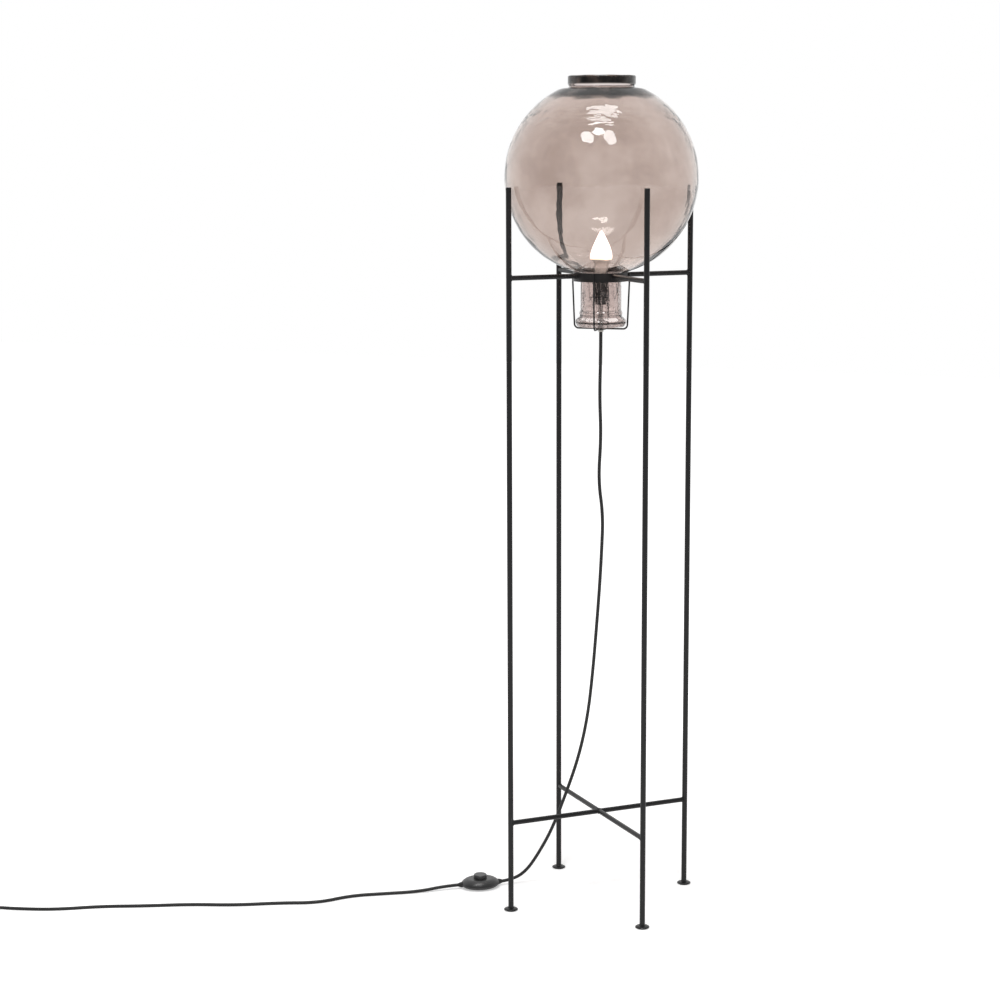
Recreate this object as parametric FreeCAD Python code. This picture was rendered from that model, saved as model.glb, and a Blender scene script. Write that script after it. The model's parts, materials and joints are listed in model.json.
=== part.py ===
import FreeCAD, Part
import math
import os

# Globe floor lamp. Millimetres, +Z up, origin on the floor at the centre of the stand.
# Four round bars stand on thin domed feet and cradle a blown glass globe. Four arms carry
# a flat ring on which the globe rests. Under the ring a cage of four bent wires holds the
# lampholder, so that the bulb stands inside the globe. The cord hangs from the cage,
# runs through a foot switch on the floor and ends in a flat two-pin plug.

# ---------------------------------------------------------------- driving dimensions
# Glass globe
globe_diameter = 350.0
glass_wall = 3.5
neck_diameter = 74.4
neck_fillet = 6.0
neck_drop = 99.0            # from the ring's top down to the rim of the neck
rim_diameter = 86.0
flange_diameter = 93.0
flange_height = 9.0         # from the rim up to the widest part of the flange
flange_thickness = 5.0
flare_height = 11.0         # from the widest part up to the root of the bead
bead_height = 8.0
bead_proud = 2.3
shoulder_share = 0.9074     # flat shoulder's height above the centre, in globe radii
shoulder_fillet = 24.0
collar_diameter = 123.0
collar_pinch = 2.5          # how far the collar's root lies inside its outer face
collar_height = 21.8
collar_wall = 5.0
collar_root_fillet = 2.5

# Stand
leg_diameter = 10.0
leg_above_arm = 159.9
leg_edge = 0.6
globe_to_leg_gap = 1.7
arm_diameter = 9.0
arm_height = 1174.7
brace_diameter = 9.0
brace_height = 168.4
weld_size = 1.6
weld_length = 2.56          # along the bar
foot_diameter = 26.0
foot_thickness = 3.2
foot_edge = 0.9
foot_top_land = 1.5         # flat ring left round the leg on top of the foot
pad_diameter = 21.0
pad_thickness = 1.5

# Ring and cage
ring_height = 16.0
ring_wall = 3.0
ring_drop = 1.7             # the ring's middle below the arms' axis
ring_to_flange_gap = 1.7
globe_seat_gap = 0.3
cage_wire_diameter = 3.0
cage_turn = 5.0             # degrees; the cage stands turned a little on the real one
cage_side_gap = 1.2
cage_bottom_gap = 2.0
cage_corner_radius = 8.0
cage_top_radius = 30.0
cage_weld_drop = 1.0        # the wire's top end below the ring's top
boss_diameter = 18.0
boss_thickness = 4.0

# Stem, lampholder and bulb
stem_diameter = 10.0
stem_bore = 7.2
stem_below_boss = 1.0
stem_in_holder = 8.0
locknut_width = 14.0
locknut_thickness = 3.5
bush_diameter = 9.6
bush_height = 3.0
thread_gap = 0.05
holder_above_boss = 41.5
holder_bottom_diameter = 19.0
holder_diameter = 25.6
holder_cap_height = 17.0
holder_cap_flare = 10.2     # height at which the cap reaches its full width
holder_cap_floor = 4.0
holder_sleeve_height = 39.0
holder_wall = 1.8
holder_joint_gap = 0.2
holder_grooves = 3
holder_groove_depth = 0.5
holder_groove_width = 1.0
holder_groove_pitch = 2.0
insulator_height = 10.0
insulator_clearance = 0.3
shell_bore = 14.3
shell_wall = 0.5
shell_height = 22.0
contact_width = 5.0
contact_thickness = 0.8
contact_rise = 2.6
contact_length = 8.0
contact_root_width = 4.0
contact_tip_width = 2.5
terminal_length = 6.0
terminal_width = 4.4
terminal_height = 5.5
terminal_screw_diameter = 2.6
terminal_screw_reach = 1.6
terminal_inset = 1.2
bulb_cap_diameter = 13.9
bulb_cap_height = 19.0
bulb_tip_diameter = 4.8
bulb_tip_height = 2.4
bulb_tip_round = 1.7
bulb_insulator_height = 3.0
bulb_tip_gap = 0.3
bulb_neck_diameter = 19.0
bulb_waist_diameter = 23.0
bulb_body_height = 25.0
bulb_waist_share = 0.55     # of the body's height
bulb_flare_share = 0.55     # of the way from the waist to the seam, at the flare's middle
bulb_flare_width = 0.40     # the same, sideways
bulb_seam_diameter = 33.0
bulb_diameter = 37.0
bulb_dome_height = 54.0
dome_widest_share = 0.16    # of the dome's height
dome_shoulder_share = 0.55
dome_shoulder_width = 0.68  # of the dome's width
dome_swell = 0.08
bulb_wall = 1.1
bulb_point_radius = 3.4
led_plate_thickness = 1.6
led_plate_gap = 0.3
led_count = 8
led_size = 2.8
led_thickness = 0.7
led_circle_diameter = 20.0

# Cord, foot switch and plug
cord_diameter = 6.2
switch_length = 76.0
switch_width = 60.0
switch_foot_length = 52.0
switch_seam = 8.0
switch_top = 18.4
switch_crown_diameter = 42.0
switch_wall = 2.0
bowl_swell = 0.35           # how full the two shells are, in shares of their height
bowl_level = 0.42
crown_swell = 0.28
crown_level = 0.66
switch_centre_x = -229.8
switch_centre_y = -32.3
switch_heading = 216.0      # degrees from +X, along the cord towards the plug
switch_pad_diameter = 7.0
switch_pad_thickness = 1.2
switch_pad_spacing_x = 30.0
switch_pad_spacing_y = 18.0
gland_length = 8.0
gland_reach = 5.0           # how far the gland stands out of the housing
gland_diameter = 10.4
gland_lip = 0.5
button_diameter = 25.0
button_proud = 7.6
button_wall = 2.0
button_edge = 1.2
button_gap = 0.4
button_flange = 1.3
button_float = 0.3
spring_diameter = 8.0
spring_wire = 0.9
spring_turns = 4
spring_bends = 10           # arcs in one turn of the spring
spring_gap = 0.1
contact_block_length = 22.0
contact_block_width = 16.0
contact_block_height = 6.0
brass_width = 3.4
brass_height = 3.0
brass_spacing = 8.0
switch_screw_diameter = 3.0
switch_screw_head = 5.4
switch_screw_head_height = 1.6
switch_screw_reach = 15.0    # screws stand diagonally beside the contact block
switch_screw_side = 14.0
switch_post_diameter = 6.0
switch_screw_bite = 4.0
plug_width = 35.3
plug_thickness = 13.7
plug_length = 36.0
plug_nose = 9.0             # straight part of the plug behind its face
plug_tail_width = 13.0
plug_edge = 2.2
plug_x = -1059.0
plug_y = -494.0
plug_heading = 206.0
relief_length = 30.0
relief_start_diameter = 7.6
relief_end_diameter = 11.0
relief_grooves = 4
relief_groove_width = 1.6
relief_groove_depth = 0.9
pin_diameter = 4.0
pin_length = 19.0
pin_spacing = 18.6
pin_sleeve_diameter = 3.6
pin_sleeve_length = 10.0
pin_core_diameter = 3.0

# ---------------------------------------------------------------- derived dimensions
tiny = 1e-6
eighth_turn = math.sqrt(0.5)    # cosine of 45 degrees
globe_radius = globe_diameter / 2
neck_radius = neck_diameter / 2
flange_radius = flange_diameter / 2
leg_radius = leg_diameter / 2
arm_radius = arm_diameter / 2
brace_radius = brace_diameter / 2
leg_offset = (globe_radius + globe_to_leg_gap + leg_radius) / math.sqrt(2)
leg_bottom = pad_thickness + foot_thickness
leg_top = arm_height + leg_above_arm
shoulder_height = shoulder_share * globe_radius
ring_inner = flange_radius + ring_to_flange_gap
ring_outer = ring_inner + ring_wall
ring_top = arm_height - ring_drop + ring_height / 2
ring_bottom = ring_top - ring_height
globe_centre = ring_top + math.sqrt((globe_radius + globe_seat_gap) ** 2 - ring_inner ** 2)
neck_bottom = ring_top - neck_drop
wire_radius = cage_wire_diameter / 2
cage_wire_level = neck_bottom - cage_bottom_gap - wire_radius
cage_top_reach = ring_outer + wire_radius
cage_side_reach = flange_radius + cage_side_gap + wire_radius
boss_radius = boss_diameter / 2
boss_bottom = cage_wire_level - boss_thickness / 2
boss_top = boss_bottom + boss_thickness
stem_radius = stem_diameter / 2
stem_bottom = boss_bottom - stem_below_boss
holder_bottom = boss_top + holder_above_boss
holder_radius = holder_diameter / 2
holder_inner = holder_radius - holder_wall
stem_top = holder_bottom + stem_in_holder
cap_top = holder_bottom + holder_cap_height
sleeve_top = cap_top + holder_sleeve_height
insulator_bottom = cap_top
insulator_top = insulator_bottom + insulator_height
insulator_radius = holder_inner - insulator_clearance
terminal_spot = insulator_radius - terminal_width / 2 - terminal_inset
shell_inner = shell_bore / 2
contact_top = insulator_top + contact_thickness + contact_rise
bulb_bottom = contact_top + bulb_tip_gap
bulb_insulator_bottom = bulb_bottom + bulb_tip_height
bulb_cap_bottom = bulb_insulator_bottom + bulb_insulator_height
bulb_body_bottom = bulb_cap_bottom + bulb_cap_height
bulb_seam = bulb_body_bottom + bulb_body_height
bulb_top = bulb_seam + bulb_dome_height
cord_radius = cord_diameter / 2
switch_bottom = switch_pad_thickness
switch_floor = switch_bottom + switch_wall
switch_roof = switch_top - switch_wall
button_radius = button_diameter / 2
button_top = switch_top + button_proud
button_flange_radius = button_radius + button_flange
button_flange_top = switch_roof - button_float
button_ceiling = button_top - button_wall
block_top = switch_floor + contact_block_height
screw_hole = switch_screw_diameter / 2 + thread_gap
switch_screw_places = (
    (-switch_screw_reach, -switch_screw_side),
    (switch_screw_reach, switch_screw_side),
)
spring_bottom = block_top + spring_gap
spring_top = button_ceiling - spring_gap
plug_level = plug_thickness / 2

# The cord's route from the cage to the switch, then from the switch to the plug.
# Points stay above the floor by the cord's radius.
cord_floor = cord_radius
upper_route = [
    (0, 0, stem_bottom - bush_height),
    (0, 0, 1030),
    (-2, 0, 955),
    (1, 1, 880),
    (-4, 0, 800),
    (6, -1, 735),
    (3, 0, 665),
    (-1, 1, 600),
    (-7, 1, 520),
    (-14, 1, 435),
    (-24, 2, 350),
    (-42, 4, 270),
    (-70, 6, 190),
    (-100, 10, 115),
    (-130, 15, 60),
    (-152, 17, 24),
]
lower_route = [
    (-327, -107, cord_floor),
    (-383, -141, cord_floor),
    (-437, -174, cord_floor),
    (-478, -231, cord_floor),
    (-545, -258, cord_floor),
    (-618, -299, cord_floor),
    (-697, -325, cord_floor),
    (-774, -364, cord_floor),
    (-850, -396, cord_floor),
    (-920, -441, cord_floor),
    (-988, -463, cord_floor),
]
gland_run = 26.0            # straight run of cord beside each gland
plug_run = 30.0             # and beside the plug
bend_share = 0.45           # of the shorter run beside a bend, taken up by the bend


# ---------------------------------------------------------------- drawing helpers
def rod(radius, bottom, top, x=0.0, y=0.0):
    return Part.makeCylinder(radius, top - bottom, FreeCAD.Vector(x, y, bottom))


def hoop(outer, inner, bottom, top, x=0.0, y=0.0):
    return rod(outer, bottom, top, x, y).cut(rod(inner, bottom, top, x, y))


def block(length, width, bottom, top, x=0.0, y=0.0):
    corner = FreeCAD.Vector(x - length / 2, y - width / 2, bottom)
    return Part.makeBox(length, width, top - bottom, corner)


def on_circle(centre, radius, degrees):
    angle = math.radians(degrees)
    return (centre[0] + radius * math.cos(angle), centre[1] + radius * math.sin(angle))


def angle_of(centre, point):
    return math.degrees(math.atan2(point[1] - centre[1], point[0] - centre[0]))


def turned(start, *moves):
    """Solid of revolution about Z. Each move is a line's end (r, z) or an arc's middle and end."""
    edges = []
    here = FreeCAD.Vector(start[0], 0, start[1])
    first = here
    for move in moves:
        there = FreeCAD.Vector(move[-2], 0, move[-1])
        if len(move) == 2:
            edges.append(Part.LineSegment(here, there).toShape())
        else:
            middle = FreeCAD.Vector(move[0], 0, move[1])
            edges.append(Part.Arc(here, middle, there).toShape())
        here = there
    if here.distanceToPoint(first) > tiny:
        edges.append(Part.LineSegment(here, first).toShape())
    face = Part.Face(Part.Wire(edges))
    return face.revolve(FreeCAD.Vector(0, 0, 0), FreeCAD.Vector(0, 0, 1), 360)


def placed(shape, heading, x, y, z=0.0):
    """Copy of a solid drawn round the origin, turned about Z and carried to its place."""
    turn = FreeCAD.Rotation(FreeCAD.Vector(0, 0, 1), heading)
    moved = shape.copy()
    moved.Placement = FreeCAD.Placement(FreeCAD.Vector(x, y, z), turn).multiply(moved.Placement)
    return moved


def ahead(heading, distance, x, y):
    angle = math.radians(heading)
    return (x + distance * math.cos(angle), y + distance * math.sin(angle))


def rounded_path(points, radii):
    """Wire of straight runs through the points, joined by tangent arcs of the given radii."""
    spots = [FreeCAD.Vector(*point) for point in points]
    edges = []
    here = spots[0]
    for before, corner, after, radius in zip(spots, spots[1:], spots[2:], radii):
        to_corner = (corner - before).normalize()
        from_corner = (after - corner).normalize()
        half_turn = to_corner.getAngle(from_corner) / 2
        reach = radius * math.tan(half_turn)
        entry = corner - to_corner * reach
        leave = corner + from_corner * reach
        inward = (from_corner - to_corner).normalize()
        middle = corner + inward * (radius / math.cos(half_turn) - radius)
        edges.append(Part.LineSegment(here, entry).toShape())
        edges.append(Part.Arc(entry, middle, leave).toShape())
        here = leave
    edges.append(Part.LineSegment(here, spots[-1]).toShape())
    return Part.Wire(edges)


def swept(path, radius):
    start = path.Edges[0]
    direction = start.tangentAt(start.FirstParameter)
    section = Part.Wire(Part.makeCircle(radius, start.valueAt(start.FirstParameter), direction))
    return path.makePipeShell([section], True, False)


def largest_radii(points):
    """Bend radii as large as the two runs beside each point allow."""
    spots = [FreeCAD.Vector(*point) for point in points]
    radii = []
    for before, corner, after in zip(spots, spots[1:], spots[2:]):
        run_in = corner - before
        run_out = after - corner
        shorter = min(run_in.Length, run_out.Length)
        radii.append(bend_share * shorter / math.tan(run_in.getAngle(run_out) / 2))
    return radii


# ---------------------------------------------------------------- stand
def bar(start, end, radius, welded_to):
    """Round bar between two points, its ends cut to fit and welded to the pieces it meets."""
    start = FreeCAD.Vector(*start)
    end = FreeCAD.Vector(*end)
    along = end - start
    shape = Part.makeCylinder(radius, along.Length, start, along)
    along.normalize()
    bead = radius + weld_size
    first, last = welded_to
    for spot, direction, partner_radius in ((start, along, first), (end, -along, last)):
        cone = Part.makeCone(bead, radius, partner_radius + weld_length, spot, direction)
        shape = shape.fuse(cone)
    return shape


def leg(x, y):
    shape = rod(leg_radius, leg_bottom, leg_top, x, y)
    rim = [edge for edge in shape.Edges if abs(edge.BoundBox.ZMin - leg_top) < tiny]
    return shape.makeChamfer(leg_edge, rim)


def foot(x, y):
    land = leg_radius + foot_top_land
    edge_top = pad_thickness + foot_edge
    # The dome is an arc that rises from the edge and is level at the flat land.
    rise = leg_bottom - edge_top
    run = foot_diameter / 2 - land
    dome_radius = (rise ** 2 + run ** 2) / (2 * rise)
    centre = (land, leg_bottom - dome_radius)
    middle = on_circle(centre, dome_radius, (90 + angle_of(centre, (land + run, edge_top))) / 2)
    dome = turned(
        (0, pad_thickness),
        (foot_diameter / 2, pad_thickness),
        (foot_diameter / 2, edge_top),
        (*middle, land, leg_bottom),
        (0, leg_bottom),
    )
    return placed(dome, 0, x, y)


def foot_pad(x, y):
    return rod(pad_diameter / 2, 0, pad_thickness, x, y)


def brace_halves(legs, through):
    """Two half bars, welded to the through bar where they cross it."""
    halves = {}
    for name in ("front_left", "back_right"):
        x, y = leg_places[name]
        half = bar((x, y, brace_height), (0, 0, brace_height), brace_radius, (leg_radius, brace_radius))
        halves[name] = half.cut(legs[name]).cut(through)
    return halves


# ---------------------------------------------------------------- ring and cage
def support_ring():
    return hoop(ring_outer, ring_inner, ring_bottom, ring_top)


def arm(x, y, leg_shape):
    shape = bar((0, 0, arm_height), (x, y, arm_height), arm_radius, (ring_outer, leg_radius))
    hollow = rod(ring_outer, ring_bottom - arm_diameter, ring_top + arm_diameter)
    return shape.cut(hollow).cut(leg_shape)


def cage_wire(degrees):
    """Wire welded to the ring's outer face, bent in under the neck and welded to the boss."""
    corner = (cage_side_reach, cage_wire_level)
    points = [
        (cage_top_reach, 0, ring_top - cage_weld_drop),
        (cage_top_reach, 0, ring_bottom - cage_wire_diameter),
        (corner[0], 0, corner[1]),
        (boss_radius, 0, cage_wire_level),
    ]
    path = rounded_path(points, (cage_top_radius, cage_corner_radius))
    return placed(swept(path, wire_radius), degrees, 0, 0)


def cage_boss():
    return hoop(boss_radius, stem_radius + thread_gap, boss_bottom, boss_top)


# ---------------------------------------------------------------- glass globe
def globe_glass():
    """One wall's section: up the outside from the rim to the collar, and back down the inside."""
    middle = (0, globe_centre)
    fillet_x = neck_radius + neck_fillet
    reach = globe_radius + neck_fillet
    neck_bend = (fillet_x, globe_centre - math.sqrt(reach ** 2 - fillet_x ** 2))
    neck_angle = angle_of(neck_bend, middle)
    shoulder = globe_centre + shoulder_height
    bend_z = shoulder - shoulder_fillet
    bend_reach = globe_radius - shoulder_fillet
    shoulder_bend = (math.sqrt(bend_reach ** 2 - (bend_z - globe_centre) ** 2), bend_z)
    shoulder_angle = angle_of(middle, shoulder_bend)
    inner = globe_radius - glass_wall
    collar_radius = collar_diameter / 2
    collar_top = shoulder + collar_height
    collar_inner = collar_radius - collar_wall
    collar_root = collar_radius - collar_pinch
    lip = collar_wall / 2
    root = collar_root_fillet
    rim_radius = rim_diameter / 2
    widest = neck_bottom + flange_height
    bead_root = widest + flare_height
    bead_top = bead_root + bead_height
    bead_radius = neck_radius + bead_proud
    neck_inner = neck_radius - glass_wall
    rim_inner = rim_radius - flange_thickness
    flange_inner = flange_radius - flange_thickness
    rim_round = flange_thickness / 4
    lower_angle = angle_of(middle, neck_bend)
    curve = 1 - eighth_turn
    return turned(
        (rim_inner + rim_round, neck_bottom),
        (rim_radius - rim_round, neck_bottom),
        (flange_radius - rim_round / 2, (neck_bottom + widest) / 2, flange_radius, widest),
        (neck_radius + bead_proud / 2, bead_root),
        (bead_radius, (bead_root + bead_top) / 2, neck_radius, bead_top),
        (neck_radius, neck_bend[1]),
        (
            *on_circle(neck_bend, neck_fillet, (180 + neck_angle) / 2),
            *on_circle(middle, globe_radius, lower_angle),
        ),
        (globe_radius, globe_centre, *on_circle(middle, globe_radius, shoulder_angle)),
        (
            *on_circle(shoulder_bend, shoulder_fillet, (shoulder_angle + 90) / 2),
            shoulder_bend[0], shoulder,
        ),
        (collar_root + root, shoulder),
        (collar_root + root * curve, shoulder + root * curve, collar_root, shoulder + root),
        (
            collar_radius - collar_pinch * curve, shoulder + root + collar_pinch * curve,
            collar_radius, shoulder + root + collar_pinch,
        ),
        (collar_radius, collar_top - lip),
        (collar_radius - lip, collar_top, collar_inner, collar_top - lip),
        (collar_inner, shoulder - glass_wall + root),
        (
            collar_inner + root * curve, shoulder - glass_wall + root * curve,
            collar_inner + root, shoulder - glass_wall,
        ),
        (shoulder_bend[0], shoulder - glass_wall),
        (
            *on_circle(shoulder_bend, shoulder_fillet - glass_wall, (shoulder_angle + 90) / 2),
            *on_circle(middle, inner, shoulder_angle),
        ),
        (inner, globe_centre, *on_circle(middle, inner, lower_angle)),
        (
            *on_circle(neck_bend, neck_fillet + glass_wall, (180 + neck_angle) / 2),
            neck_inner, neck_bend[1],
        ),
        (neck_inner, bead_top),
        (flange_inner, widest),
        (rim_inner, neck_bottom + rim_round),
    )


# ---------------------------------------------------------------- stem and lampholder
def hexagon(width, bottom, top):
    corners = []
    for step in range(7):
        angle = math.radians(60 * step)
        reach = width / math.sqrt(3)
        corners.append(FreeCAD.Vector(reach * math.cos(angle), reach * math.sin(angle), bottom))
    face = Part.Face(Part.makePolygon(corners))
    return face.extrude(FreeCAD.Vector(0, 0, top - bottom))


def stem_pipe():
    return hoop(stem_radius, stem_bore / 2, stem_bottom, stem_top)


def stem_locknut():
    top = boss_top + locknut_thickness
    return hexagon(locknut_width, boss_top, top).cut(rod(stem_radius + thread_gap, boss_top, top))


def cord_bush():
    """Pale bush that closes the stem's lower end, with a spigot up the bore."""
    bottom = stem_bottom - bush_height
    spigot_top = stem_bottom + 2 * bush_height
    spigot = stem_bore / 2 - thread_gap
    half = bush_diameter / 2
    edge = bush_height / 4
    body = turned(
        (0, bottom),
        (half - edge, bottom),
        (half, bottom + edge),
        (half, stem_bottom),
        (spigot, stem_bottom),
        (spigot, spigot_top),
        (0, spigot_top),
    )
    return body.cut(rod(cord_radius + thread_gap, stem_bottom, spigot_top))


def holder_cap():
    low = holder_bottom_diameter / 2
    cap_shoulder = holder_bottom + holder_cap_floor
    inner_low = low - holder_wall
    return turned(
        (stem_radius + thread_gap, holder_bottom),
        (low, holder_bottom),
        (low, cap_shoulder),
        (holder_radius, holder_bottom + holder_cap_flare),
        (holder_radius, cap_top - holder_joint_gap),
        (holder_inner, cap_top - holder_joint_gap),
        (holder_inner, holder_bottom + holder_cap_flare),
        (inner_low, cap_shoulder + holder_wall / 2),
        (stem_radius + thread_gap, cap_shoulder + holder_wall / 2),
    )


def holder_sleeve():
    shape = hoop(holder_radius, holder_inner, cap_top, sleeve_top)
    for number in range(holder_grooves):
        level = cap_top + holder_groove_pitch * (number + 1)
        shape = shape.cut(hoop(
            holder_radius + holder_groove_depth, holder_radius - holder_groove_depth,
            level, level + holder_groove_width,
        ))
    return shape


def holder_insulator():
    """Insulating core: a disc with a raised hub, and two wells for the terminals."""
    shape = rod(insulator_radius, insulator_bottom, insulator_top)
    shape = shape.cut(rod(cord_radius, insulator_bottom, insulator_bottom + holder_wall))
    for side in (-1, 1):
        well = block(
            terminal_length, terminal_width,
            insulator_bottom, insulator_bottom + terminal_height, 0, side * terminal_spot,
        )
        shape = shape.cut(well)
    return shape


def holder_terminals():
    """Two brass blocks in the insulator's wells, each with its clamping screw."""
    solids = []
    for side in (-1, 1):
        low = insulator_bottom - terminal_screw_diameter / 2
        brass = block(
            terminal_length - insulator_clearance * 2, terminal_width - insulator_clearance * 2,
            low, insulator_bottom + terminal_height - insulator_clearance / 2, 0, side * terminal_spot,
        )
        screw = rod(
            terminal_screw_diameter / 2, low - terminal_screw_reach, low, 0, side * terminal_spot,
        )
        solids.append(brass.fuse(screw))
    return Part.makeCompound(solids)


def holder_contact():
    """Centre contact: a foot riveted to the insulator and a tongue raised towards the bulb."""
    foot_top = insulator_top + contact_thickness
    base = block(contact_length, contact_width, insulator_top, foot_top)
    rise = turned(
        (0, foot_top),
        (contact_root_width / 2, foot_top),
        (contact_tip_width / 2, contact_top),
        (0, contact_top),
    )
    return base.fuse(rise)


def holder_screw_shell():
    outer = shell_inner + shell_wall
    top = insulator_top + shell_height
    shape = hoop(outer, shell_inner, insulator_top, top)
    lip = hoop(outer + shell_wall, shell_inner, top - shell_wall * 2, top)
    return shape.fuse(lip).removeSplitter()


# ---------------------------------------------------------------- bulb
def bulb_tip():
    half = bulb_tip_diameter / 2
    top = bulb_insulator_bottom
    return turned(
        (0, bulb_bottom),
        (
            half * eighth_turn, bulb_bottom + bulb_tip_round * (1 - eighth_turn),
            half, bulb_bottom + bulb_tip_round,
        ),
        (half, top),
        (0, top),
    )


def bulb_cap_insulator():
    return turned(
        (0, bulb_insulator_bottom),
        (bulb_tip_diameter / 2 + shell_wall, bulb_insulator_bottom),
        (bulb_cap_diameter / 2 - shell_wall, bulb_cap_bottom),
        (0, bulb_cap_bottom),
    )


def bulb_cap():
    return rod(bulb_cap_diameter / 2, bulb_cap_bottom, bulb_body_bottom)


def bulb_body():
    """White heat sink, waisted above the cap and flared to the dome's seam."""
    waist = bulb_body_bottom + bulb_body_height * bulb_waist_share
    waist_radius = bulb_waist_diameter / 2
    seam_radius = bulb_seam_diameter / 2
    flare = (
        waist_radius + (seam_radius - waist_radius) * bulb_flare_width - bulb_wall / 2,
        waist + (bulb_seam - waist) * bulb_flare_share,
    )
    return turned(
        (0, bulb_body_bottom),
        (bulb_neck_diameter / 2, bulb_body_bottom),
        (waist_radius, waist),
        (*flare, seam_radius, bulb_seam),
        (0, bulb_seam),
    )


def flame(shrink):
    """Flame-shaped solid: the dome's outside, moved inwards by shrink."""
    seam_radius = bulb_seam_diameter / 2 - shrink
    widest_radius = bulb_diameter / 2 - shrink
    widest = bulb_seam + bulb_dome_height * dome_widest_share
    top = bulb_top - shrink
    point = bulb_point_radius - shrink / 2
    shoulder_z = bulb_seam + bulb_dome_height * dome_shoulder_share
    shoulder_r = widest_radius * dome_shoulder_width
    swell = (shoulder_r + widest_radius * dome_swell, (widest + shoulder_z) / 2 + bulb_wall)
    return turned(
        (0, bulb_seam),
        (seam_radius, bulb_seam),
        (widest_radius - shrink / 4, (bulb_seam + widest) / 2, widest_radius, widest),
        (*swell, shoulder_r, shoulder_z),
        (point, top - point),
        (point * eighth_turn, top - point * (1 - eighth_turn), 0, top),
    )


def bulb_dome():
    return flame(0).cut(flame(bulb_wall))


def led_plate():
    plate = bulb_seam_diameter / 2 - bulb_wall - led_plate_gap
    return rod(plate, bulb_seam, bulb_seam + led_plate_thickness)


def led_chips():
    """Small light sources in a circle on the plate."""
    bottom = bulb_seam + led_plate_thickness
    chip = block(led_size, led_size, bottom, bottom + led_thickness, led_circle_diameter / 2)
    chips = [placed(chip, 360 / led_count * number, 0, 0) for number in range(led_count)]
    return Part.makeCompound(chips)


# ---------------------------------------------------------------- foot switch
# Drawn round the origin with the cord along X, then carried to its place on the floor.
def oval(shape, length, width):
    """A round solid of the given length squeezed across to the given width."""
    squeeze = FreeCAD.Matrix()
    squeeze.scale(1, width / length, 1)
    return shape.transformGeometry(squeeze)


def lower_bowl(half_length, bottom, top, foot_half):
    rise = top - bottom
    bulge = ((half_length + foot_half) / 2 + rise * bowl_swell, bottom + rise * bowl_level)
    return turned((0, bottom), (foot_half, bottom), (*bulge, half_length, top), (0, top))


def upper_dome(half_length, bottom, top, crown):
    rise = top - bottom
    bulge = ((half_length + crown) / 2 + rise * crown_swell, bottom + rise * crown_level)
    return turned((0, bottom), (half_length, bottom), (*bulge, crown, top), (0, top))


def gland_hole():
    reach = switch_length / 2 + gland_reach
    return Part.makeCylinder(
        gland_diameter / 2, 2 * reach,
        FreeCAD.Vector(-reach, 0, switch_seam), FreeCAD.Vector(1, 0, 0),
    )


def switch_base():
    half = switch_length / 2
    foot_half = switch_foot_length / 2
    bowl = lower_bowl(half, switch_bottom, switch_seam, foot_half)
    outer = oval(bowl, switch_length, switch_width)
    inner = lower_bowl(half - switch_wall, switch_floor, switch_seam, foot_half - switch_wall)
    shape = outer.cut(oval(inner, switch_length, switch_width))
    for x, y in switch_screw_places:
        post = rod(switch_post_diameter / 2, switch_floor, switch_seam, x, y)
        shape = shape.fuse(post)
        shape = shape.cut(rod(screw_hole, switch_bottom, switch_seam, x, y))
        recess = switch_bottom + switch_screw_head_height
        shape = shape.cut(rod(switch_screw_head / 2 + thread_gap, switch_bottom, recess, x, y))
    return shape.cut(gland_hole())


def switch_cover():
    half = switch_length / 2
    crown = switch_crown_diameter / 2
    outer = oval(upper_dome(half, switch_seam, switch_top, crown), switch_length, switch_width)
    inner = oval(
        upper_dome(half - switch_wall, switch_seam, switch_roof, crown - switch_wall),
        switch_length, switch_width,
    )
    shape = outer.cut(inner)
    for x, y in switch_screw_places:
        post = rod(switch_post_diameter / 2, switch_seam, switch_top, x, y).common(outer)
        thread_top = switch_seam + switch_screw_bite
        shape = shape.fuse(post.cut(rod(screw_hole, switch_seam, thread_top, x, y)))
    shape = shape.cut(rod(button_radius + button_gap, switch_seam, switch_top))
    return shape.cut(gland_hole())


def switch_screws():
    solids = []
    for x, y in switch_screw_places:
        head = rod(switch_screw_head / 2, switch_bottom, switch_bottom + switch_screw_head_height, x, y)
        shank_top = switch_seam + switch_screw_bite - button_gap
        shank = rod(switch_screw_diameter / 2, switch_bottom, shank_top, x, y)
        solids.append(head.fuse(shank).removeSplitter())
    return Part.makeCompound(solids)


def switch_pads():
    pads = []
    for x in (-switch_pad_spacing_x / 2, switch_pad_spacing_x / 2):
        for y in (-switch_pad_spacing_y / 2, switch_pad_spacing_y / 2):
            pads.append(rod(switch_pad_diameter / 2, 0, switch_pad_thickness, x, y))
    return Part.makeCompound(pads)


def switch_button():
    """Round cap with a skirt that runs in the cover, and a flange that keeps it in."""
    flange_bottom = button_flange_top - button_wall
    return turned(
        (0, button_ceiling),
        (button_radius - button_wall, button_ceiling),
        (button_radius - button_wall, flange_bottom),
        (button_flange_radius, flange_bottom),
        (button_flange_radius, button_flange_top),
        (button_radius, button_flange_top),
        (button_radius, button_top - button_edge),
        (button_radius - button_edge, button_top),
        (0, button_top),
    )


def switch_spring():
    """Coil spring, bent from short arcs round its axis."""
    radius = (spring_diameter - spring_wire) / 2
    height = spring_top - spring_bottom - spring_wire
    corner_reach = radius / math.cos(math.pi / spring_bends)
    steps = spring_turns * spring_bends
    points = []
    for step in range(steps + 1):
        x, y = on_circle((0, 0), corner_reach, 360 / spring_bends * step)
        points.append((x, y, height / steps * step))
    coil = swept(rounded_path(points, largest_radii(points)), spring_wire / 2)
    return placed(coil, 0, 0, 0, spring_bottom + spring_wire / 2)


def switch_contact_block():
    return block(contact_block_length, contact_block_width, switch_floor, block_top)


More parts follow.
